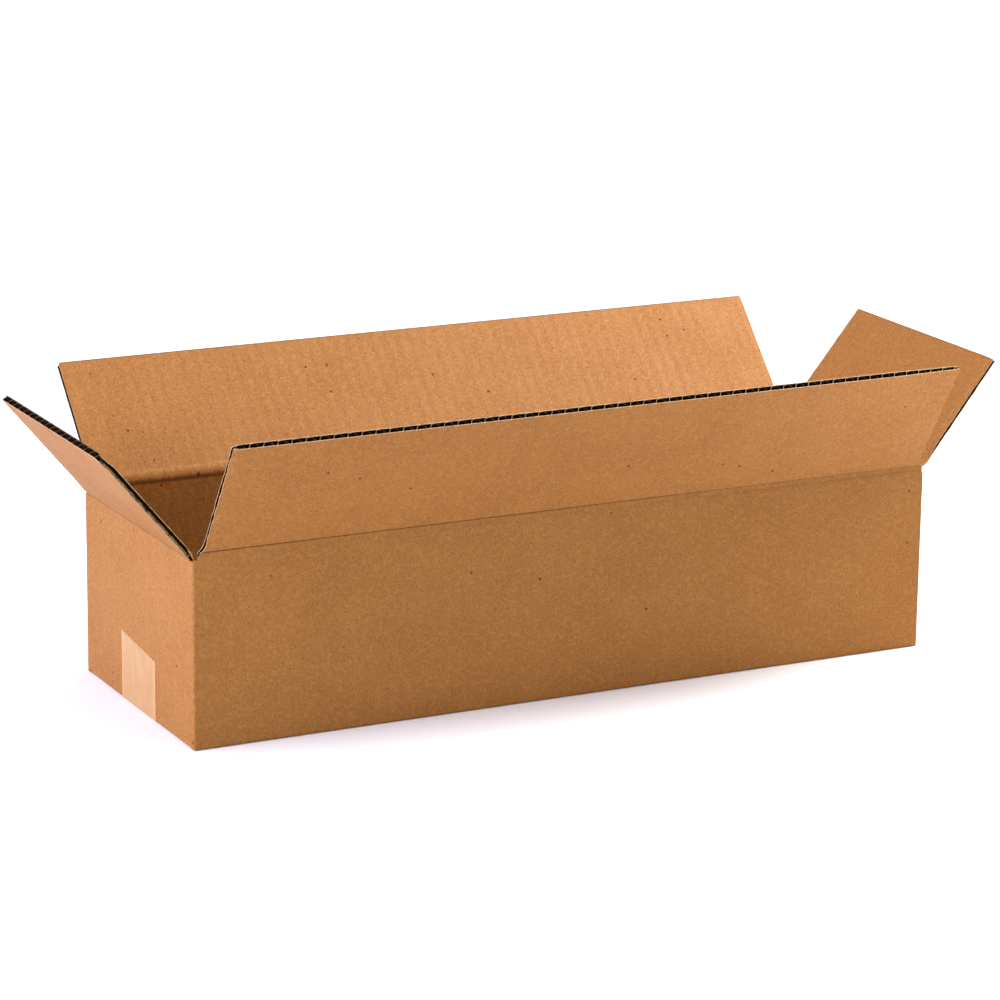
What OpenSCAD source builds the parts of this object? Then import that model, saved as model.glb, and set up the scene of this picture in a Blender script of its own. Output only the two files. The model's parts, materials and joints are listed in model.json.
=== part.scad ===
// Open corrugated shipping carton with four top flaps and a taped bottom.
// The origin is under the middle of the box, on the face it rests on.
// X runs along the box, the front is at -Y and Z is up.

/* [Inside size] */
// Clear length between the end walls
inside_l = 457; // [300:1:700]
// Clear width between the long walls
inside_w = 152; // [100:1:280]
// Height from the floor of the box to the middle of the flap creases
inside_h = 101; // [60:1:400]

/* [Board] */
// Thickness of the corrugated board
board_t = 4; // [3:0.1:6]
// Thickness of each of the two liners
liner_t = 0.5; // [0.3:0.05:0.8]
// Thickness of the waved medium between the liners
medium_t = 0.55; // [0.3:0.05:0.8]
// Distance from one flute to the next
flute_pitch = 8.15; // [6:0.05:10]
// Part of each pitch where the medium is glued flat to a liner
glue_share = 0.14; // [0.08:0.01:0.3]
// Radius of the folded edges of the box
fold_r = 1.5; // [1:0.1:4]

/* [Flaps] */
// Gap between the two long flaps when they are closed
seam_gap = 2; // [0.5:0.5:8]
// Clearance of a flap's side to the inner face of the wall beside it
slot_clear = 0.5; // [0.3:0.1:2]
// How far the slots are cut past the lower creases
slot_over = 0.5; // [0.2:0.1:3]
// Clearance between flaps that lie on each other
ply_gap = 0.2; // [0.1:0.05:0.5]
// Opening at the inner liner of a crease when its flap is closed
fold_gap = 0.3; // [0.2:0.05:1]
// Height beside a crease over which the flutes are pressed flat
crushed_h = 7; // [5.5:0.5:15]
// Radius of the free corners of a flap
flap_corner_r = 1; // [0.5:0.1:5]

/* [Flap angles] */
// Front flap, outward from upright
front_open = 32; // [-80:1:150]
// Back flap, outward from upright
back_open = 43; // [-80:1:150]
// Left end flap, outward from upright
left_open = 40; // [-20:1:150]
// Right end flap, outward from upright
right_open = 40; // [-20:1:150]

/* [Glued joint] */
// Width of the glued tab inside the back right corner
tab_w = 35; // [20:1:60]
// Distance that the tab stops short of the creases
tab_short = 8; // [6:1:20]
// Depth of the open flute along the back wall's raw edge
raw_edge_d = 1.5; // [0.5:0.1:3]

/* [Tape] */
// Width of the tape
tape_w = 50; // [36:1:75]
// Thickness of the tape
tape_t = 0.15; // [0.1:0.05:0.4]
// Height of the tape on the ends, at its front side
tape_rise = 36; // [15:1:45]
// How much higher the tape reaches at its back side
tape_skew = 5; // [0:0.5:8]
// Distance between the teeth of its torn ends
tape_tooth = 3.5; // [2:0.5:5]
// Depth of the teeth
tape_tooth_h = 1.2; // [0.3:0.1:2]

/* [Hidden] */
$fn = 32;
eps = 0.01;

outer_l = inside_l + 2 * board_t;
outer_w = inside_w + 2 * board_t;
flap_l = (outer_w - seam_gap) / 2;
slot_inset = board_t + slot_clear;
long_flap_w = outer_l - 2 * slot_inset;
end_flap_w = outer_w - 2 * slot_inset;

// The long bottom flaps lie under the end ones, and above the tape.
base_z = tape_t;
ply_z = base_z + board_t + ply_gap;
floor_z = ply_z + board_t;

// The long flaps close over the end ones, so their creases are one board higher.
crease_z = floor_z + inside_h;
crease_step = board_t + ply_gap;
long_crease_z = crease_z + crease_step / 2;
end_crease_z = crease_z - crease_step / 2;
wall_low_z = base_z + fold_r;
wall_high_z = end_crease_z - crushed_h;

flute_d = board_t - 2 * liner_t - medium_t;
flute_w = flute_pitch * (1 - glue_share);
flute_sides = 6;
cut_over = 1;
kraft = "#b27a45";
kraft_end = "#cf9a68";
tape_colour = "#e3b389";

// One channel between the waved medium and a liner, open along its flat side.
module flute() {
    polygon([for (i = [0 : flute_sides])
        let (u = i / flute_sides)
        [(u - 0.5) * flute_w, flute_d * (1 - cos(360 * u)) / 2]]);
}

// Section of the board across its flutes, with cut sides that open a channel.
module board_section(w) {
    count = ceil(w / flute_pitch);
    start = -count * flute_pitch / 2;
    difference() {
        translate([-w / 2, 0])
            square([w, board_t]);
        for (i = [0 : count])
            translate([start + i * flute_pitch, liner_t])
                flute();
        for (i = [0 : count - 1])
            translate([start + (i + 0.5) * flute_pitch, board_t - liner_t])
                mirror([0, 1])
                    flute();
    }
}

// Square with one rounded corner at its origin.
module folded_corner(size, r) {
    difference() {
        square(size);
        difference() {
            translate([-eps, -eps])
                square(r + eps);
            translate([r, r])
                circle(r);
        }
    }
}

// Upright flap: the hinge line is the X axis, on the outer liner, inside towards +Y.
module flap(w) {
    intersection() {
        union() {
            rotate([90, 0, 90])
                linear_extrude(w, center = true)
                    polygon([[0, 0], [board_t, board_t + fold_gap], [board_t, crushed_h], [0, crushed_h]]);
            translate([0, 0, crushed_h])
                linear_extrude(flap_l - crushed_h)
                    board_section(w);
        }
        flap_outline(w);
    }
}

// Outline of a flap with its two free corners rounded.
module flap_outline(w) {
    rotate([90, 0, 0])
        translate([0, 0, -board_t - cut_over])
            linear_extrude(board_t + 2 * cut_over)
                difference() {
                    translate([-w / 2 - cut_over, -cut_over])
                        square([w + 2 * cut_over, flap_l + cut_over]);
                    for (side = [-1, 1])
                        translate([side * w / 2, flap_l])
                            difference() {
                                square(2 * flap_corner_r, center = true);
                                translate([-side * flap_corner_r, -flap_corner_r])
                                    circle(flap_corner_r);
                            }
                }
}

// Puts a flap on its crease: turn picks the wall, open leans it outward.
module on_wall(turn, reach, z, open) {
    rotate([0, 0, turn])
        translate([0, -reach, z])
            rotate([open, 0, 0])
                children();
}

// Rounded fold under a wall, along X.
module wall_foot(w) {
    rotate([90, 0, 90])
        linear_extrude(w, center = true)
            translate([0, base_z])
                folded_corner([board_t, fold_r], fold_r);
}

// Top of a wall between two slots, mitred at the crease, along X.
module wall_head(w, top_z) {
    rotate([90, 0, 90])
        linear_extrude(w, center = true)
            polygon([
                [0, wall_high_z], [board_t, wall_high_z],
                [board_t, top_z - board_t - fold_gap], [0, top_z]]);
}

// Long bottom flap, folded in from the wall's foot.
module long_bottom_flap() {
    rotate([90, 0, 90])
        linear_extrude(long_flap_w, center = true)
            translate([0, base_z])
                folded_corner([flap_l, board_t], fold_r);
}

// End bottom flap, lying on the long ones, with open flutes at its free edge.
module end_bottom_flap() {
    translate([-end_flap_w / 2, 0, ply_z])
        cube([end_flap_w, crushed_h, board_t]);
    translate([0, crushed_h, ply_z + board_t])
        rotate([-90, 0, 0])
            linear_extrude(flap_l - crushed_h)
                board_section(end_flap_w);
}

// Quarter of the plan that ends in a folded corner.
module folded_quarter(half_w) {
    translate([-outer_l / 2, -half_w])
        folded_corner([outer_l / 2 + eps, half_w + eps], fold_r);
}

// Quarter at the glued corner: the end wall folds into the tab, and the back wall has a raw edge.
module glued_quarter() {
    mirror([1, 0])
        mirror([0, 1])
            folded_quarter(inside_w / 2);
    difference() {
        translate([0, inside_w / 2])
            square([outer_l / 2, board_t]);
        translate([outer_l / 2 - raw_edge_d, inside_w / 2 + liner_t])
            square([raw_edge_d + eps, board_t - 2 * liner_t]);
    }
}

// Plan of the four walls.
module wall_plan() {
    difference() {
        union() {
            folded_quarter(outer_w / 2);
            mirror([1, 0])
                folded_quarter(outer_w / 2);
            mirror([0, 1])
                folded_quarter(outer_w / 2);
            glued_quarter();
        }
        square([inside_l, inside_w], center = true);
    }
}

// Plan of what stands between the slots at the four corners.
module corner_plan() {
    difference() {
        wall_plan();
        square([long_flap_w, outer_w + cut_over], center = true);
        square([outer_l + cut_over, end_flap_w], center = true);
    }
}

// Glued tab with its ends cut at a slant.
module glued_tab() {
    low = floor_z + ply_gap;
    high = end_crease_z - tab_short;
    slant = tab_w / 4;
    translate([inside_l / 2, inside_w / 2, 0])
        rotate([90, 0, 0])
            linear_extrude(board_t)
                polygon([[0, low], [0, high], [-tab_w, high - slant], [-tab_w, low + slant]]);
}

module carton_body() {
    color(kraft) {
        translate([0, 0, wall_low_z])
            linear_extrude(wall_high_z - wall_low_z)
                wall_plan();
        translate([0, 0, base_z + slot_over])
            linear_extrude(end_crease_z - 2 * slot_over - base_z)
                corner_plan();
        for (turn = [0, 180])
            on_wall(turn, outer_w / 2, 0, 0) {
                wall_foot(long_flap_w);
                wall_head(long_flap_w, long_crease_z);
                long_bottom_flap();
            }
        for (turn = [-90, 90])
            on_wall(turn, outer_l / 2, 0, 0) {
                wall_foot(end_flap_w);
                wall_head(end_flap_w, end_crease_z);
                end_bottom_flap();
            }
        glued_tab();
    }
}

// Side view of the tape: along the seam, round both bottom edges and up the ends.
module tape_path() {
    tape_r = fold_r * 0.8;
    for (side = [0, 1])
        mirror([side, 0])
            difference() {
                translate([-outer_l / 2 - tape_t, 0])
                    folded_corner([outer_l / 2 + tape_t + eps, base_z + tape_rise + tape_skew], tape_r + tape_t);
                translate([-outer_l / 2, tape_t])
                    folded_corner([outer_l / 2 + cut_over, base_z + tape_rise + tape_skew], tape_r);
            }
}

// Front view of the tape: its torn ends slope up to the back with small teeth.
module tape_face() {
    count = round(tape_w / tape_tooth);
    step = tape_w / count;
    polygon(concat(
        [[tape_w / 2, -1], [-tape_w / 2, -1]],
        [for (i = [0 : count - 1], tip = [0, 1])
            [-tape_w / 2 + (i + tip / 2) * step,
             tape_rise + tape_skew * (i + tip / 2) / count - (1 - tip) * tape_tooth_h]],
        [[tape_w / 2, tape_rise + tape_skew - tape_tooth_h]]));
}

module sealing_tape() {
    color(tape_colour)
        intersection() {
            rotate([90, 0, 0])
                linear_extrude(tape_w, center = true)
                    tape_path();
            rotate([90, 0, 90])
                linear_extrude(outer_l + 4 * tape_t, center = true)
                    tape_face();
        }
}

module front_flap() {
    color(kraft)
        on_wall(0, outer_w / 2, long_crease_z, front_open)
            flap(long_flap_w);
}

module back_flap() {
    color(kraft)
        on_wall(180, outer_w / 2, long_crease_z, back_open)
            flap(long_flap_w);
}

module left_end_flap() {
    color(kraft_end)
        on_wall(-90, outer_l / 2, end_crease_z, left_open)
            flap(end_flap_w);
}

module right_end_flap() {
    color(kraft_end)
        on_wall(90, outer_l / 2, end_crease_z, right_open)
            flap(end_flap_w);
}

carton_body();
sealing_tape();
front_flap();
back_flap();
left_end_flap();
right_end_flap();
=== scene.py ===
import json
import math

import bpy
import numpy as np
from mathutils import Matrix, Vector, noise


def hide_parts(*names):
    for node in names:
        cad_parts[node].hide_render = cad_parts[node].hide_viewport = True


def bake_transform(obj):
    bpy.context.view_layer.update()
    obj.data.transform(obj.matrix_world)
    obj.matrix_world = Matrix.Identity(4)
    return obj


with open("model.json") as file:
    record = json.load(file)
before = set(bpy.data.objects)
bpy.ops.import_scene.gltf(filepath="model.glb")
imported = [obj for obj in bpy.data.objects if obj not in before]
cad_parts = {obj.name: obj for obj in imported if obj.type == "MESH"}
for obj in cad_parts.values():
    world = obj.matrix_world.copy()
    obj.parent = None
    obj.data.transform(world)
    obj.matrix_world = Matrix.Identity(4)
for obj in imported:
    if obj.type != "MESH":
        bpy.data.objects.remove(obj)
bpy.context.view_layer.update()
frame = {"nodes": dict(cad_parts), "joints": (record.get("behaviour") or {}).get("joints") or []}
print("frame loaded:", sorted(frame["nodes"]))

mm = 0.001
hinges = {joint["child"]: joint for joint in frame["joints"]}


# camera, matched to the corners of the box in the photo
cameraView = {
    "place": (-1.01468, -1.97953, 0.69799),
    "yaw": 26.988,       # degrees right of straight in
    "pitch": 15.138,     # degrees down
    "roll": 0.693,
    "lens": 142.742,
    "sensor": 36,
    "clip": (0.05, 100),
}


def placeCamera(values):
    yaw, pitch, roll = (math.radians(values[key]) for key in ("yaw", "pitch", "roll"))
    ahead = Vector((math.sin(yaw) * math.cos(pitch), math.cos(yaw) * math.cos(pitch),
                    -math.sin(pitch)))
    level = Vector((math.cos(yaw), -math.sin(yaw), 0))
    upward = level.cross(ahead)
    right = level * math.cos(roll) + upward * math.sin(roll)
    top = -level * math.sin(roll) + upward * math.cos(roll)
    turn = Matrix((right, top, -ahead)).transposed().to_4x4()
    lens = bpy.data.cameras.new("photoCamera")
    lens.sensor_width = values["sensor"]
    lens.lens = values["lens"]
    lens.clip_start, lens.clip_end = values["clip"]
    camera = bpy.data.objects.new("photoCamera", lens)
    camera.matrix_world = Matrix.Translation(values["place"]) @ turn
    bpy.context.scene.collection.objects.link(camera)
    bpy.context.scene.camera = camera


placeCamera(cameraView)
print("camera placed")


# soft light of a white studio; each lamp stands at "from" and points to "to", or else to the box
studioLight = {
    "lamps": {
        "overhead": {"kind": "SUN", "from": (0.0, 0.0, 1.0), "angle": 50, "power": 1.70},
        "rightBack": {"kind": "SUN", "from": (0.9, 0.4, 0.9), "angle": 50, "power": 0.83},
        "leftHigh": {"kind": "SUN", "from": (-1.0, 0.1, 0.8), "angle": 60, "power": 1.93,
                     "tint": (0.98, 1.0, 1.30)},
        "frontLow": {"kind": "SUN", "from": (0.1, -1.0, 0.15), "angle": 60, "power": 0.90,
                     "tint": (1.0, 0.985, 0.72)},
        "leftNear": {"kind": "AREA", "from": (-1.0, -0.2, 0.35), "to": (-0.23, 0.0, 0.08),
                     "size": 0.5, "power": 6.4, "tint": (0.98, 1.0, 1.25)},
        "rightTop": {"kind": "AREA", "from": (0.75, -0.08, 0.8), "to": (0.2, 0.08, 0.15),
                     "size": 0.5, "power": 13.4},
    },
    "surround": 0.02,
    "surroundColour": (1, 1, 1),
    "floorReach": 30,
    "floorColour": (0.90, 0.90, 0.89),
    "floorRoughness": 0.9,
    "floorShine": 0.1,
}


def aimedAt(source, target):
    return (Vector(target) - Vector(source)).to_track_quat("-Z", "Y")


def lightStudio(values):
    for name, lamp in values["lamps"].items():
        light = bpy.data.lights.new(name, lamp["kind"])
        light.energy = lamp["power"]
        light.color = lamp.get("tint", (1, 1, 1))
        holder = bpy.data.objects.new(name, light)
        holder.location = lamp["from"]
        holder.rotation_mode = "QUATERNION"
        holder.rotation_quaternion = aimedAt(lamp["from"], lamp.get("to", (0, 0, 0)))
        if lamp["kind"] == "SUN":
            light.angle = math.radians(lamp["angle"])
        else:
            light.shape = "DISK"
            light.size = lamp["size"]
        bpy.context.scene.collection.objects.link(holder)
    world = bpy.data.worlds.new("whiteRoom")
    world.use_nodes = True
    background = world.node_tree.nodes["Background"]
    background.inputs["Color"].default_value = (*values["surroundColour"], 1)
    background.inputs["Strength"].default_value = values["surround"]
    bpy.context.scene.world = world
    bpy.context.scene.view_settings.view_transform = "Standard"
    bpy.context.scene.view_settings.look = "None"


def layFloor(values):
    reach = values["floorReach"]
    corners = [(-reach, -reach, 0), (reach, -reach, 0), (reach, reach, 0), (-reach, reach, 0)]
    sheet = bpy.data.meshes.new("paleFloor")
    sheet.from_pydata(corners, [], [(0, 1, 2, 3)])
    floor = bpy.data.objects.new("paleFloor", sheet)
    bpy.context.scene.collection.objects.link(floor)
    paint = bpy.data.materials.new("paleFloorPaint")
    paint.use_nodes = True
    shader = paint.node_tree.nodes["Principled BSDF"]
    shader.inputs["Base Color"].default_value = (*values["floorColour"], 1)
    shader.inputs["Roughness"].default_value = values["floorRoughness"]
    shader.inputs["Specular IOR Level"].default_value = values["floorShine"]
    sheet.materials.append(paint)


lightStudio(studioLight)
layFloor(studioLight)
print("studio lit")


# short hands for node trees
class NodeBench:
    def __init__(self, name):
        self.material = bpy.data.materials.new(name)
        self.material.use_nodes = True
        self.tree = self.material.node_tree
        self.shader = self.tree.nodes["Principled BSDF"]

    def plug(self, socket, value):
        if isinstance(value, bpy.types.NodeSocket):
            self.tree.links.new(value, socket)
        else:
            socket.default_value = value

    def node(self, kind, inputs=(), output=0, **settings):
        made = self.tree.nodes.new(kind)
        for key, value in settings.items():
            setattr(made, key, value)
        for key, value in dict(inputs).items():
            self.plug(made.inputs[key], value)
        return made.outputs[output]

    def math(self, operation, *values):
        return self.node("ShaderNodeMath", dict(enumerate(values)), operation=operation)

    def span(self, value, low, high, toLow=0.0, toHigh=1.0, smooth=True):
        kind = "SMOOTHSTEP" if smooth else "LINEAR"
        return self.node("ShaderNodeMapRange", {"Value": value, "From Min": low, "From Max": high,
                                                "To Min": toLow, "To Max": toHigh},
                         interpolation_type=kind)

    def scaled(self, place, factors):
        return self.node("ShaderNodeVectorMath", {0: place, 1: factors}, operation="MULTIPLY")

    def grain(self, place, scale, detail=3.0, roughness=0.55, distortion=0.0):
        return self.node("ShaderNodeTexNoise", {"Vector": place, "Scale": scale, "Detail": detail,
                                                "Roughness": roughness, "Distortion": distortion})

    def tint(self, factor, first, second, blend="MIX"):
        made = self.tree.nodes.new("ShaderNodeMix")
        made.data_type = "RGBA"
        made.blend_type = blend
        colours = [value + (1,) if isinstance(value, tuple) else value for value in (first, second)]
        for socket, value in zip((made.inputs[0], made.inputs[6], made.inputs[7]),
                                 (factor, *colours)):
            self.plug(socket, value)
        return made.outputs[2]

    def parts(self, place):
        made = self.tree.nodes.new("ShaderNodeSeparateXYZ")
        self.plug(made.inputs[0], place)
        return made.outputs

    def reading(self, name, vector=False):
        return self.node("ShaderNodeAttribute", output=1 if vector else 2, attribute_name=name)

    def relief(self, height, strength, distance):
        bump = self.node("ShaderNodeBump", {"Strength": strength, "Distance": distance,
                                            "Height": height})
        self.plug(self.shader.inputs["Normal"], bump)


kraftLook = {
    "paper": (0.339, 0.139, 0.032),
    "paleFibre": (0.441, 0.198, 0.055),
    "darkFibre": (0.229, 0.084, 0.018),
    "speck": (0.088, 0.027, 0.006),
    "insideTint": (0.95, 1.07, 1.13),     # on the inner liner of the walls
    "cloudScale": 28.0,
    "fibreScale": 950.0,
    # noise that a layer follows, where the layer starts and is full, its strength and colour
    "layers": (
        ("cloud", 0.30, 0.72, 0.24, "darkFibre"),
        ("clump", 0.42, 0.74, 0.576, "paleFibre"),
        ("fibre", 0.50, 0.70, 1.28, "darkFibre"),
        ("fibre", 0.46, 0.28, 1.12, "paleFibre"),
    ),
    # cells in a metre, largest radius in cells, share of cells, strength and colour
    "specks": (
        (90.0, 0.085, 0.30, 0.92, "speck"),
        (210.0, 0.118, 0.30, 0.70, "speck"),
        (160.0, 0.085, 0.15, 0.90, "paleFibre"),
    ),
    "speckWarpScale": 900.0,
    "speckWarp": 0.6 * mm,
    "smallestSpeck": 0.45,
    "roughness": (0.60, 0.67),
    "shine": 0.20,
    "flutePitch": 8.15 * mm,
    "fluteBandShading": 0.055,     # painted light and shade of the bands that the flutes press into the liner
    "fluteRelief": 0.10 * mm,
    "bandScale": 45.0,
    "fibreRelief": 0.10 * mm,
    "waveScale": 60.0,
    "waveRelief": 0.5 * mm,
}

# where the carton's inside, its bottom end flaps and its upright folds lie
cartonZones = {
    "squarely": 0.7,          # how squarely a face looks along an axis to count
    "endFlapAbove": 4.2 * mm,
    "endFlapFrom": 150 * mm,
    "insideReach": (231.5 * mm, 79.0 * mm),
    "foldX": (228.5 * mm, 232.5 * mm),
    "foldY": (76.0 * mm, 80.0 * mm),
    # painted shade: the colour is a little darker in the upright folds
    "foldShade": 0.05,
    "bandInside": 0.5,        # added to the strength of the flute bands on the inner liner
    "bandOutside": 0.2,
}


def cartonPlaces(bench, zones):
    place = bench.node("ShaderNodeTexCoord", output=3)
    x, y, z = bench.parts(place)
    faceX, _, faceZ = bench.parts(bench.node("ShaderNodeNewGeometry", output=1))
    wide = bench.math("ABSOLUTE", x)
    deep = bench.math("ABSOLUTE", y)
    endWall = bench.math("GREATER_THAN", bench.math("ABSOLUTE", faceX), zones["squarely"])
    level = bench.math("GREATER_THAN", bench.math("ABSOLUTE", faceZ), zones["squarely"])
    outward = bench.math("MULTIPLY", bench.math("GREATER_THAN", z, zones["endFlapAbove"]),
                         bench.math("GREATER_THAN", wide, zones["endFlapFrom"]))
    sideways = bench.math("MAXIMUM", endWall, bench.math("MULTIPLY", level, outward))
    across = bench.node("ShaderNodeMix", {0: sideways, 2: x, 3: y})
    length, width = zones["insideReach"]
    inner = bench.math("MULTIPLY", bench.math("LESS_THAN", wide, length),
                       bench.math("LESS_THAN", deep, width))
    pressed = bench.math("MULTIPLY_ADD", inner, zones["bandInside"], zones["bandOutside"])
    fold = bench.math("MULTIPLY", bench.span(wide, *zones["foldX"]),
                      bench.span(deep, *zones["foldY"]))
    return place, across, pressed, bench.math("MULTIPLY", fold, zones["foldShade"]), inner


def addSpecks(bench, look, place, colour):
    shift = bench.node("ShaderNodeTexNoise", {"Vector": place, "Scale": look["speckWarpScale"]},
                       output=1)
    warped = bench.node("ShaderNodeVectorMath",
                        {0: place, 1: bench.scaled(shift, (look["speckWarp"],) * 3)},
                        operation="ADD")
    for scale, radius, share, strength, paint in look["specks"]:
        cell = bench.tree.nodes.new("ShaderNodeTexVoronoi")
        bench.plug(cell.inputs["Vector"], warped)
        cell.inputs["Scale"].default_value = scale
        draw = bench.parts(cell.outputs["Color"])
        chosen = bench.math("LESS_THAN", draw[0], share)
        size = bench.span(draw[1], 0.0, 1.0, radius * look["smallestSpeck"], radius, smooth=False)
        dot = bench.math("LESS_THAN", cell.outputs["Distance"], size)
        spot = bench.math("MULTIPLY", bench.math("MULTIPLY", dot, chosen), strength)
        colour = bench.tint(spot, colour, look[paint])
    return colour


def kraftBoard(name, look, zones=None):
    bench = NodeBench(name)
    if zones:
        place, across, pressed, shade, inner = cartonPlaces(bench, zones)
    else:
        place = bench.reading("flatPlace", vector=True)
        across, pressed, shade = (bench.reading(title)
                                  for title in ("fluteAcross", "innerSide", "paintedShading"))
    upright = bench.scaled(place, (0.8, 0.8, 1.0))
    noises = {
        "cloud": bench.grain(place, look["cloudScale"], 4.0, 0.6),
        "clump": bench.grain(upright, look["fibreScale"] / 2, 3.0, 0.6),
        "fibre": bench.grain(place, look["fibreScale"], 4.0, 0.65, 0.4),
    }
    colour = look["paper"]
    for source, start, full, strength, paint in look["layers"]:
        colour = bench.tint(bench.span(noises[source], start, full, 0.0, strength), colour,
                            look[paint])
    colour = addSpecks(bench, look, place, colour)
    ridge = bench.math("SINE", bench.math("MULTIPLY", across, 2 * math.pi / look["flutePitch"]))
    patchy = bench.span(bench.grain(place, look["bandScale"], 2.0, 0.5), 0.3, 0.7, 0.35, 1.0)
    press = bench.math("MULTIPLY", patchy, pressed)
    # painted light and shade along the flute bands
    band = bench.math("MULTIPLY", ridge, bench.math("MULTIPLY", press, look["fluteBandShading"]))
    # painted shade and light multiplied into the colour: shading of creases and folds, and the
    # flute bands
    light = bench.math("ADD", bench.math("SUBTRACT", 1.0, shade), band)
    grey = bench.node("ShaderNodeCombineXYZ", {0: light, 1: light, 2: light})
    colour = bench.tint(1.0, colour, grey, "MULTIPLY")
    if zones:
        colour = bench.tint(inner, colour, bench.tint(1.0, colour, look["insideTint"], "MULTIPLY"))
    bench.plug(bench.shader.inputs["Base Color"], colour)
    bench.plug(bench.shader.inputs["Roughness"],
               bench.span(noises["cloud"], 0.3, 0.7, *look["roughness"]))
    bench.shader.inputs["Specular IOR Level"].default_value = look["shine"]
    fluted = bench.math("MULTIPLY", bench.math("MULTIPLY", ridge, press), look["fluteRelief"])
    fuzz = bench.math("MULTIPLY", noises["fibre"], look["fibreRelief"])
    wave = bench.math("MULTIPLY", bench.grain(place, look["waveScale"], 2.0), look["waveRelief"])
    bench.relief(bench.math("ADD", bench.math("ADD", fluted, fuzz), wave), 1.0, 1.0)
    return bench.material


# cut or torn ends of the paper: pale fibre with darker breaks, and painted shade where the painted
# edge light is low
cutLook = {
    "pale": (0.58, 0.385, 0.215),
    "dark": (0.16, 0.09, 0.04),
    "edgeShadeColour": (0.02, 0.012, 0.006),
    "grain": 1400.0,
    "breaks": (0.46, 0.70),
    "patchScale": 260.0,
    "patches": (0.52, 0.70, 0.0, 0.6),
    "roughness": 0.95,
    "shine": 0.15,
    "relief": 0.2 * mm,
}
tornLook = dict(cutLook, pale=(0.25, 0.16, 0.075), dark=(0.03, 0.018, 0.008), grain=480.0)


def cutBoard(name, look):
    bench = NodeBench(name)
    place = bench.reading("flatPlace", vector=True)
    torn = bench.grain(place, look["grain"], 3.0, 0.7)
    patch = bench.grain(place, look["patchScale"], 2.0)
    colour = bench.tint(bench.span(torn, *look["breaks"]), look["pale"], look["dark"])
    colour = bench.tint(bench.span(patch, *look["patches"]), colour, look["dark"])
    # painted shade on the cut edges, deeper where the painted edge light is lower
    edgeShaded = bench.math("SUBTRACT", 1.0, bench.reading("paintedEdgeLight"))
    colour = bench.tint(edgeShaded, colour, look["edgeShadeColour"])
    bench.plug(bench.shader.inputs["Base Color"], colour)
    bench.shader.inputs["Roughness"].default_value = look["roughness"]
    bench.shader.inputs["Specular IOR Level"].default_value = look["shine"]
    bench.relief(torn, 0.7, look["relief"])
    return bench.material


# the inside of the flutes: brown at the mouth and painted shade, almost black, further in; the cut
# edges' painted shade darkens the mouth as well
fluteLook = {
    "deep": (0.027, 0.012, 0.005),
    "rim": (0.46, 0.34, 0.22),
    "rimDepth": (0.264 * mm, 0.73 * mm),
    "unevenness": 0.5 * mm,
    "grain": 500.0,
}


def fluteInside(look):
    bench = NodeBench("fluteInside")
    mottled = bench.grain(bench.reading("flatPlace", vector=True), look["grain"], 3.0)
    # painted shade, deeper the further in from the mouth
    depth = bench.math("MULTIPLY_ADD", mottled, look["unevenness"], bench.reading("cutDepth"))
    near = bench.span(depth, *look["rimDepth"], 1.0, 0.0)
    colour = bench.tint(bench.math("MULTIPLY", near, bench.reading("paintedEdgeLight")), look["deep"],
                        look["rim"])
    bench.plug(bench.shader.inputs["Base Color"], colour)
    bench.shader.inputs["Roughness"].default_value = 1.0
    bench.shader.inputs["Specular IOR Level"].default_value = 0.0
    return bench.material


kraftWalls = kraftBoard("kraftBoardWalls", kraftLook, cartonZones)
kraftFlaps = kraftBoard("kraftBoardFlaps", kraftLook)
paperEdge = cutBoard("cutPaperEdge", cutLook)
tornPaper = cutBoard("tornPaperEdge", tornLook)
darkFlutes = fluteInside(fluteLook)
print("board materials made")


# packing tape over the bottom seam and up both ends
tapeLook = {
    "film": (0.44, 0.223, 0.075),
    "edgeBand": (0.54, 0.307, 0.121),
    "dullPatch": (0.36, 0.17, 0.063),
    "halfWidth": 25 * mm,
    "roughness": (0.30, 0.44),
    "shine": 0.55,
    "streakScale": 420.0,
    "stretch": 0.05,
    "streakRelief": 0.06 * mm,
    "cloudScale": 90.0,
    "cloudRelief": 0.2 * mm,
}


def dressTape(tape, look):
    bench = NodeBench("packingTapeFilm")
    place = bench.node("ShaderNodeTexCoord", output=3)
    x, y, z = bench.parts(place)
    drawn = bench.node("ShaderNodeCombineXYZ", {0: bench.math("MULTIPLY", x, look["stretch"]), 1: y,
                                                2: bench.math("MULTIPLY", z, look["stretch"])})
    streak = bench.grain(drawn, look["streakScale"], 3.0, 0.6)
    cloud = bench.grain(place, look["cloudScale"], 3.0)
    side = bench.span(bench.math("ABSOLUTE", y), look["halfWidth"] * 0.80, look["halfWidth"] * 0.97)
    colour = bench.tint(bench.span(streak, 0.35, 0.7, 0.0, 0.35), look["film"], look["edgeBand"])
    colour = bench.tint(bench.math("MULTIPLY", side, 0.5), colour, look["edgeBand"])
    colour = bench.tint(bench.span(cloud, 0.55, 0.75, 0.0, 0.25), colour, look["dullPatch"])
    bench.plug(bench.shader.inputs["Base Color"], colour)
    bench.plug(bench.shader.inputs["Roughness"], bench.span(cloud, 0.3, 0.7, *look["roughness"]))
    bench.shader.inputs["Specular IOR Level"].default_value = look["shine"]
    bench.relief(bench.math("ADD", bench.math("MULTIPLY", streak, look["streakRelief"]),
                            bench.math("MULTIPLY", cloud, look["cloudRelief"])), 0.8, 1.0)
    tape.data.materials.clear()
    tape.data.materials.append(bench.material)


def dressCarton(carton):
    carton.data.materials.clear()
    carton.data.materials.append(kraftWalls)


dressTape(frame["nodes"]["sealing_tape"], tapeLook)
dressCarton(frame["nodes"]["carton_body"])
print("tape and carton dressed")


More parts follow.
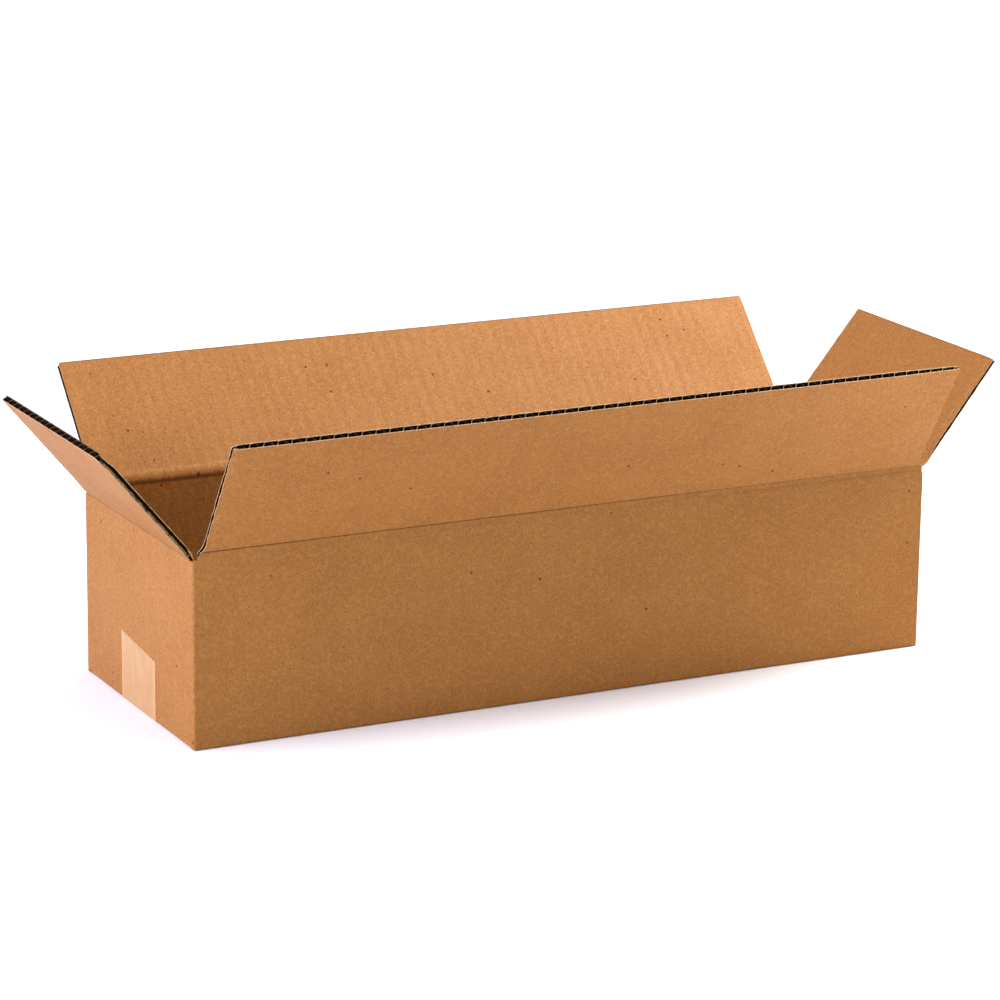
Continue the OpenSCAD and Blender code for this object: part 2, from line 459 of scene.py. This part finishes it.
# corrugated flaps, drawn flat in mm as (along the crease, away from it, in from the outer face)
boardMake = {
    "thickness": 4.0,
    "thinnest": 1.3,         # where it is crushed most
    "liner": 0.38,
    "medium": 0.20,
    "flankSteepness": 1.6,
    "flankSkew": 0.45,       # makes one flank of each flute steeper than the other
    "flankRecess": 0.26,     # how far back the other flank is torn at the free edge
    "flankWidest": 1.7,      # of the medium's thickness, as it is cut across a flank
    "fluteSteps": 14,
    "flapLength": 79.0,
    "slotRadius": 6.5,       # rounds the end of the slot beside a trimmed or flared side
    "slotReach": 12.0,
    "pinchReach": 4.5,
    "pinchRise": (2.0, 12.0),
    "pinchWave": 0.15,
    "rootReach": 5.0,
    "cornerPull": 0.35,
    "swellRise": 9.0,
    "linerRagged": 0.16,
    "mediumRagged": 0.55,
    "wallBand": 8.0,         # how far each flap's sheet runs down over the wall below its crease
    "proud": 0.05,
    "scoreDepth": 0.25,      # the crease as it is pressed into the inner face
    "scoreWidth": 0.6,
    "scorePlace": -1.7,
    "bulge": (0.2, 2.0, 1.3),
    "foldLine": 0.40,        # the same crease on the outer face
    "foldPlace": 0.45,
    "foldLineWidth": 0.40,
    "smoothBelow": 40,       # degrees between faces that shade as one
}

# painted shades along a crease and along the inner free edge, a painted highlight above the inner
# crease, and painted light towards a flap's far end, with places and widths in mm above the crease
paintedShadingLook = {
    "innerPlace": -2.05,
    "innerWidth": 0.75,
    "innerRim": (0.30, 0.9, 0.3),     # painted shade along the inner free edge: strength, start and full place, off the free edge
    "innerBulge": (0.05, 1.6, 1.2),   # painted highlight on the inner bulge: strength, place and width
    "turnsAt": (0, 0.6, 1),           # parts of the length that the painted crease shades "line" and "softBand" are for
    "linePlace": 0.35,
    "lineWidth": 0.42,
    "lineBreaks": 0.35,
    "lineWave": 0.13,
    "softPlace": -2.2,
    "softWidth": 2.2,
    # where the painted light towards a flap's far end starts, as a part of its length
    "paintedLightFrom": 0.55,
}


def easeStep(value, low, high):
    share = np.clip((np.asarray(value, float) - low) / (high - low), 0, 1)
    return share * share * (3 - 2 * share)


def hump(value, place, width):
    return np.exp(-((value - place) / width) ** 2)


def bySide(along, pair):
    return np.where(along < 0, pair[0], pair[1])


def wobble(values, seed, scale):
    # smooth random values from -1 to 1 along a line
    return np.array([noise.noise(Vector((value * scale, seed * 7.31, seed * 1.7)))
                     for value in values])


def columnPlaces(half, step=12.0):
    # close together near the side cuts
    side = [0, 0.25, 0.5, 1, 1.5, 2.2, 3, 4, 6, 9, step]
    count = max(4, int(round((2 * half - 2 * step) / step)))
    middle = np.linspace(-half + step, half - step, count + 1)
    return np.array([-half + place for place in side] + list(middle[1:-1])
                    + [half - place for place in reversed(side)])


def rowPlaces(make):
    # close together at the crease and at the free edge
    low = -make["wallBand"]
    crease = np.arange(-3.6, 3.61, 0.4)
    flat = np.linspace(4.2, make["flapLength"] - 3, 44)
    tip = make["flapLength"] - np.array([1.5, 1.0, 0.5, 0.2, 0])
    return np.concatenate([[low, low + 0.8, -6.4, -5.6, -4.8, -4.2], crease, flat, tip])


class FlapSheet:
    def __init__(self, name, make, look):
        self.name = name
        self.make = make
        self.look = look
        self.half = look["width"] / 2
        joint = hinges[name]
        self.hinge = np.array(joint["pos_m"])
        self.along = np.array(joint["axis"], float)
        self.outward = np.cross(self.along, (0, 0, 1))
        self.upward = np.array((0, 0, 1.0))
        self.points = []
        self.flat = []
        self.depths = []
        self.shades = []
        self.inner = []
        self.edgeLitLevels = []
        self.faces = []
        self.paints = []

    def rimGap(self, along):
        return self.half - np.abs(along)

    def sideGap(self, along):
        # the same, from the side that the slot leaves
        return self.rimGap(along) - bySide(along, self.look["slotTrim"])

    def thickness(self, along, away):
        # the knife pinches the board along both side cuts, and knocks crush a free corner
        look, make = self.look, self.make
        near = 1 - easeStep(self.sideGap(along), 0.0, make["pinchReach"])
        rough = wobble(np.ravel(away), look["seed"], make["pinchWave"]).reshape(np.shape(away))
        squeezed = near * bySide(along, look["pinch"]) * (1 + look["pinchRough"] * rough)
        squeezed = squeezed * easeStep(away, *make["pinchRise"])
        crush = 0.0
        for side, squash, reach, _ in look["crushed"]:
            distance = np.hypot(along - side * self.half, (away - make["flapLength"]) * 0.8)
            crush = crush + squash * (1 - easeStep(distance, 0.0, reach))
        most = make["thickness"] - make["thinnest"]
        return make["thickness"] - np.minimum(squeezed + crush, most)

    def bent(self, along, away, depth):
        # crushed corners bend outward, then the sheet turns about its crease
        look, make = self.look, self.make
        for side, _, reach, lean in look["crushed"]:
            distance = np.hypot(along - side * self.half, away - make["flapLength"])
            depth = depth - lean * (1 - easeStep(distance, 0.0, reach))
            away = away - make["cornerPull"] * lean * (1 - easeStep(distance, 0.0, reach))
        swell = bySide(along, look["swell"]) * np.abs(along) / self.half
        swell = swell * easeStep(away, 0.0, make["swellRise"])
        depth = depth - swell * np.interp(away, (make["swellRise"], make["flapLength"]), (1.0, 0.0))
        turn = math.radians(look["open"]) * easeStep(away, -look["bend"], look["bend"])
        out = -depth * np.cos(turn) + away * np.sin(turn)
        rise = depth * np.sin(turn) + away * np.cos(turn)
        return self.hinge + mm * (along[:, None] * self.along + out[:, None] * self.outward
                                  + rise[:, None] * self.upward)

    def add(self, along, away, depth, inner, fluteDepth):
        along, away, depth = (np.ravel(value).astype(float) for value in (along, away, depth))
        first = sum(len(block) for block in self.points)
        self.points.append(self.bent(along, away, depth))
        self.flat.append(self.hinge + mm * (along[:, None] * self.along
                                            - depth[:, None] * self.outward
                                            + away[:, None] * self.upward))
        self.depths.append(np.broadcast_to(fluteDepth, along.shape).astype(float) * mm)
        self.shades.append(self.paintedShading(along, away, inner))
        self.inner.append(np.full(along.shape, self.look["washboard"] if inner else 0.2))
        # painted shade of the cut edges, less of it along the side cuts
        side = (self.sideGap(along) < 2) & (away < self.make["flapLength"] - 3)
        self.edgeLitLevels.append(np.where(side, max(self.edgeLitLevel, self.look["paintedSideLight"]), self.edgeLitLevel))
        return first

    def paintedShading(self, along, away, inner):
        # painted shade along the creases and the inner free edge, a painted highlight over the
        # inner bulge, and painted light towards the outer face's far end, given as negative shade
        look, shade, tip = self.look, paintedShadingLook, self.make["flapLength"]
        if inner:
            line = look["innerCreaseShade"] * hump(away, shade["innerPlace"], shade["innerWidth"])
            dark, start, full = shade["innerRim"]
            pale, place, width = shade["innerBulge"]
            rim = dark * easeStep(away, tip - start, tip - full)
            return line + rim - pale * hump(away, place, width)
        share = (along / self.half + 1) / 2
        strong = np.interp(share, shade["turnsAt"], look["line"])
        soft = np.interp(share, shade["turnsAt"], look["softBand"])
        broken = 1 + shade["lineBreaks"] * wobble(along, look["seed"] + 3, shade["lineWave"])
        line = strong * broken * hump(away, shade["linePlace"], shade["lineWidth"])
        # painted light: the outer face turns paler towards its far end
        pale = look["paintedLightEnd"] * easeStep(share, shade["paintedLightFrom"], 1.0)
        pale = pale * np.clip(0.4 + away / 110, 0, 1) * easeStep(away, 0, 6)
        return line + soft * hump(away, shade["softPlace"], shade["softWidth"]) - pale

    def slab(self, columns, rows, upper, lower, inners, paints, torn=False):
        # a thin closed sheet between two depths; its cut sides get the paper edge
        make = self.make
        along, away = np.meshgrid(columns, rows)
        along, away = self.trimmed(along, away)
        if torn:
            tip = easeStep(away, make["flapLength"] - 2, make["flapLength"] - 0.1)
            away = away - self.recess(along) * tip
        mouth = np.minimum(make["flapLength"] - away, self.rimGap(along) + 0.35)
        frayZone = self.rimGap(along) < 0.9
        along = self.slotted(along, away)
        top = self.add(along, away, upper(along, away), inners[0], np.ravel(mouth))
        bottom = self.add(along, away, lower(along, away), inners[1], np.ravel(mouth))
        index = np.arange(along.size).reshape(along.shape)
        quads = np.stack([index[:-1, :-1], index[:-1, 1:], index[1:, 1:], index[1:, :-1]], -1)
        quads = quads.reshape(-1, 4)
        self.faces += (quads + top).tolist()
        self.paints += [paints[0]] * len(quads)
        self.faces += (quads[:, ::-1] + bottom).tolist()
        self.paints += [paints[1]] * len(quads)
        rim = np.concatenate([index[0, :], index[1:, -1], index[-1, -2::-1], index[-2:0:-1, 0]])
        after = np.roll(rim, -1)
        wall = np.stack([rim + bottom, after + bottom, after + top, rim + top], -1)
        self.faces += wall.tolist()
        if not torn:
            self.paints += [1] * len(wall)
            return
        frayed = bySide(along.ravel()[rim], self.look["fray"]) > 0
        self.paints += np.where(frayed & frayZone.ravel()[rim], 3, 2).tolist()

    def trimmed(self, along, away):
        # round outer corners and slightly ragged side cuts
        make, look = self.make, self.look
        near = 1 - easeStep(self.rimGap(along), 0.0, 3.0)
        lines = (wobble(away[:, 0], look["seed"] + 11, 0.45)
                 + 0.6 * wobble(away[:, 0], look["seed"] + 17, 1.6))
        cut = self.raggedness * look["ragged"] * lines[:, None] * near * easeStep(away, 1.0, 5.0)
        radius = look["cornerRadius"]
        inset = np.clip(radius - self.rimGap(along), 0, radius)
        drop = radius - np.sqrt(np.maximum(radius ** 2 - inset ** 2, 0))
        drop = drop * easeStep(away, make["flapLength"] - 5, make["flapLength"])
        return along - np.sign(along) * np.abs(cut), away - drop

    def slotted(self, along, away):
        # the side cut runs in a little above the crease, or out to the corner at it
        rest = np.clip(away / self.make["slotRadius"], 0, 1)
        root = 1 - np.sqrt(1 - (1 - rest) ** 2)
        trim = bySide(along, self.look["slotTrim"]) * (1 - root)
        flare = bySide(along, self.look["rootFlare"]) * root
        near = 1 - easeStep(self.rimGap(along), 0.0, self.make["slotReach"])
        return along - np.sign(along) * near * (trim - flare)

    def outerFace(self, along, away):
        make = self.make
        share = (along / self.half + 1) / 2
        groove = make["foldLine"] * np.interp(share, (0, 1), self.look["groove"])
        depth = groove * hump(away, make["foldPlace"], make["foldLineWidth"])
        return depth - self.cover(away) + self.pinchShift(along, away)

    def cover(self, away):
        # the sheet lies just over the wall, and its lower rim dips into it
        below = 1 - 1.6 * easeStep(-away, 5.5, 8.0)
        return self.make["proud"] * np.where(away < 0, below, 1 - easeStep(away, 0, 4))

    def rootClosing(self, along, away):
        # beside the crease the crushed side closes up towards the outer liner
        amount, reach = self.look["rootPinch"]
        near = 1 - easeStep(self.sideGap(along), 0.0, self.make["rootReach"])
        rise = np.where(away > 0, 1 - easeStep(away, 0.5, reach), 1 - easeStep(-away, 0.0, 2.0))
        return amount * near * rise

    def pinchShift(self, along, away):
        # the side cuts pull both faces towards the middle of the board
        return (self.make["thickness"] - self.thickness(along, away)) * 0.5

    def innerFace(self, along, away):
        make = self.make
        depth = make["scoreDepth"] * hump(away, make["scorePlace"], make["scoreWidth"])
        height, place, width = make["bulge"]
        raised = height * hump(away, place, width) + self.cover(away)
        pulled = self.pinchShift(along, away) + self.rootClosing(along, away)
        return make["thickness"] - depth + raised - pulled

    def liners(self):
        liner = self.make["liner"]
        columns = columnPlaces(self.half)
        rows = rowPlaces(self.make)
        self.raggedness = self.make["linerRagged"]
        self.edgeLitLevel = self.look["paintedEdgeLights"][0]
        self.slab(columns, rows, self.outerFace, lambda a, b: self.outerFace(a, b) + liner,
                  (0, 0), (0, 2))
        self.edgeLitLevel = self.look["paintedEdgeLights"][2]
        self.slab(columns, rows, lambda a, b: self.innerFace(a, b) - liner, self.innerFace,
                  (1, 1), (2, 0))

    def medium(self):
        # the waved sheet between the liners, cut open at the free edge and at both sides
        make, look = self.make, self.look
        steps = make["fluteSteps"]
        count = int(round(look["width"] / look["pitch"] * steps))
        columns = np.linspace(-self.half, self.half, count + 1)
        end = make["flapLength"]
        root = [1.5, 2.2, 3.0, 4.0, 5.5, 7.2, 9.2, 12.0]
        tip = [end - 2, end - 1, end - 0.12]
        fineRows = np.concatenate([root, np.linspace(13.5, end - 3.5, 40), tip])
        coarseRows = np.concatenate([root, [40.0, end - 6], tip])
        side = int(steps * 1.5)
        self.raggedness = make["mediumRagged"]
        self.edgeLitLevel = look["paintedEdgeLights"][1]
        for part, rows in ((columns[:side + 1], fineRows), (columns[side:-side], coarseRows),
                           (columns[-side - 1:], fineRows)):
            self.slab(part, rows, lambda a, b: self.wave(a, b, -1), lambda a, b: self.wave(a, b, 1),
                      (1, 1), (2, 2), torn=True)

    def wave(self, along, away, side):
        make, look = self.make, self.look
        steep, skew = make["flankSteepness"], make["flankSkew"]
        phase = 2 * math.pi * (along / look["pitch"] + look["phase"])
        skewed = phase + skew * np.cos(phase)
        height = np.tanh(steep * np.sin(skewed)) / math.tanh(steep)
        slope = (steep * np.cos(skewed) * (1 - np.tanh(steep * np.sin(skewed)) ** 2)
                 / math.tanh(steep) * (1 - skew * np.sin(phase)))
        low = self.outerFace(along, away) + make["liner"]
        high = self.innerFace(along, away) - make["liner"]
        swing = np.maximum((high - low - make["medium"]) / 2, 0.02)
        tilt = np.sqrt(1 + (slope * swing * 2 * math.pi / look["pitch"]) ** 2)
        half = make["medium"] / 2 * np.minimum(tilt, make["flankWidest"])
        middle = (low + high) / 2 + swing * height
        if side < 0:
            return middle - half
        fray = bySide(along, look["fray"]) * (1 - easeStep(self.sideGap(along), 0.2, 1.0))
        rough = 0.5 * wobble(away[:, 0], look["seed"] + 23, 0.6)[:, None]
        fray = fray * (1 + rough) * (height < 0)
        return middle + half + np.minimum(fray, np.maximum(high - low - 0.5, 0))

    def recess(self, along):
        # the shallow flanks are torn further back than the steep ones
        phase = 2 * math.pi * (along / self.look["pitch"] + self.look["phase"])
        return self.make["flankRecess"] * easeStep(-np.cos(phase), -0.2, 0.5)

    def build(self):
        self.liners()
        self.medium()
        sheet = bpy.data.meshes.new(self.name + "Sheet")
        sheet.from_pydata(np.concatenate(self.points).tolist(), [], self.faces)
        for paint in (kraftFlaps, paperEdge, darkFlutes, tornPaper):
            sheet.materials.append(paint)
        sheet.polygons.foreach_set("material_index", self.paints)
        flat = np.concatenate(self.flat)
        place = sheet.attributes.new("flatPlace", "FLOAT_VECTOR", "POINT")
        place.data.foreach_set("vector", flat.astype(np.float32).ravel())
        for title, values in (("fluteAcross", flat @ self.along),
                              ("cutDepth", np.concatenate(self.depths)),
                              ("paintedShading", np.concatenate(self.shades)),
                              ("innerSide", np.concatenate(self.inner)),
                              ("paintedEdgeLight", np.concatenate(self.edgeLitLevels))):
            layer = sheet.attributes.new(title, "FLOAT", "POINT")
            layer.data.foreach_set("value", values.astype(np.float32))
        sheet.update()
        board = bpy.data.objects.new(self.name + "_board", sheet)
        bpy.context.scene.collection.objects.link(board)
        for face in sheet.polygons:
            face.use_smooth = True
        sheet.set_sharp_from_angle(angle=math.radians(self.make["smoothBelow"]))
        self.hang(board)
        return board

    def hang(self, board):
        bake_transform(board)
        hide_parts(self.name)
        board.data.name = self.name + "Board"


# Sizes are in mm. A pair is for the side cut where the joint's axis starts and the one where it
# ends. "slotTrim" cuts a side back above its root, and "rootFlare" takes the root out further.
# "crushed" lists corners: side, squash, reach and how far they lean out. "line" and "softBand" are
# painted shade along the crease on the outer face, "groove" is its dent, from side to side, and the
# last value is painted light that makes the outer face paler towards its far end.
# The three edge values are painted shade on the cut edge of the outer liner, the flutes and the
# inner
# liner: 1 is unshaded and lower is darker, and the side value is how light the side cuts stay at
# least.
frontFlap = {
    "width": 456.0, "open": 32.0, "bend": 3.0, "pitch": 8.15, "phase": 0.418, "seed": 2,
    "pinch": (1.6, 1.2), "pinchRough": 1.3, "ragged": 2.0, "rootPinch": (1.5, 8.0),
    "fray": (0.0, 0.3), "crushed": [(1, 1.1, 50.0, 0.0)], "swell": (0.0, 0.0),
    "washboard": 0.5, "innerCreaseShade": 0.4,
    "groove": (1.0, 0.35), "line": (0.60, 0.50, 0.15), "softBand": (0.0, 0.05, 0.16),
    "paintedEdgeLights": (1.0, 1.0, 1.0), "paintedSideLight": 1.0,
    "slotTrim": (2.5, 0.0), "rootFlare": (0.0, 3.0), "cornerRadius": 1.0, "paintedLightEnd": 0.16,
}
backFlap = {
    "width": 456.0, "open": 43.0, "bend": 3.0, "pitch": 8.15, "phase": 0.775, "seed": 5,
    "pinch": (0.8, 0.5), "pinchRough": 0.35, "ragged": 1.0, "rootPinch": (2.0, 9.0),
    "fray": (0.3, 0.0), "crushed": [], "swell": (0.0, 0.0),
    "washboard": 0.8, "innerCreaseShade": 0.65,
    "groove": (0.8, 0.8), "line": (0.35, 0.35, 0.35), "softBand": (0.05, 0.05, 0.05),
    "paintedEdgeLights": (0.8, 0.8, 0.8), "paintedSideLight": 0.8,
    "slotTrim": (0.0, 0.0), "rootFlare": (0.0, 0.0), "cornerRadius": 1.0, "paintedLightEnd": 0.0,
}
leftFlap = {
    "width": 151.0, "open": 40.0, "bend": 3.0, "pitch": 8.389, "phase": 0.75, "seed": 8,
    "pinch": (0.6, 0.2), "pinchRough": 0.35, "ragged": 1.3, "rootPinch": (1.8, 7.0),
    "fray": (3.0, 0.95), "crushed": [(1, 0.8, 9.0, 1.0)], "swell": (0.0, 0.0),
    "washboard": 0.4, "innerCreaseShade": 0.4,
    "groove": (0.7, 0.7), "line": (0.36, 0.36, 0.36), "softBand": (0.0, 0.0, 0.0),
    "paintedEdgeLights": (0.9, 0.35, 0.25), "paintedSideLight": 0.8,
    "slotTrim": (0.0, 0.0), "rootFlare": (0.0, 0.0), "cornerRadius": 1.0, "paintedLightEnd": 0.0,
}
rightFlap = {
    "width": 151.0, "open": 40.0, "bend": 5.0, "pitch": 8.15, "phase": 0.014, "seed": 12,
    "pinch": (2.0, 1.3), "pinchRough": 0.35, "ragged": 1.0, "rootPinch": (3.1, 20.0),
    "fray": (0.0, 0.4), "crushed": [], "swell": (2.1, 0.6),
    "washboard": 0.25, "innerCreaseShade": 0.35,
    "groove": (0.2, 0.4), "line": (0.2, 0.2, 0.2), "softBand": (0.06, 0.06, 0.06),
    "paintedEdgeLights": (0.8, 0.8, 0.8), "paintedSideLight": 0.8,
    "slotTrim": (0.0, 0.0), "rootFlare": (0.0, 0.0), "cornerRadius": 0.3, "paintedLightEnd": 0.0,
}

for flapName, flapLook in (("front_flap", frontFlap), ("back_flap", backFlap),
                           ("left_end_flap", leftFlap), ("right_end_flap", rightFlap)):
    flapBoard = FlapSheet(flapName, boardMake, flapLook).build()
    print("flap built:", flapBoard.name, len(flapBoard.data.polygons), "faces")
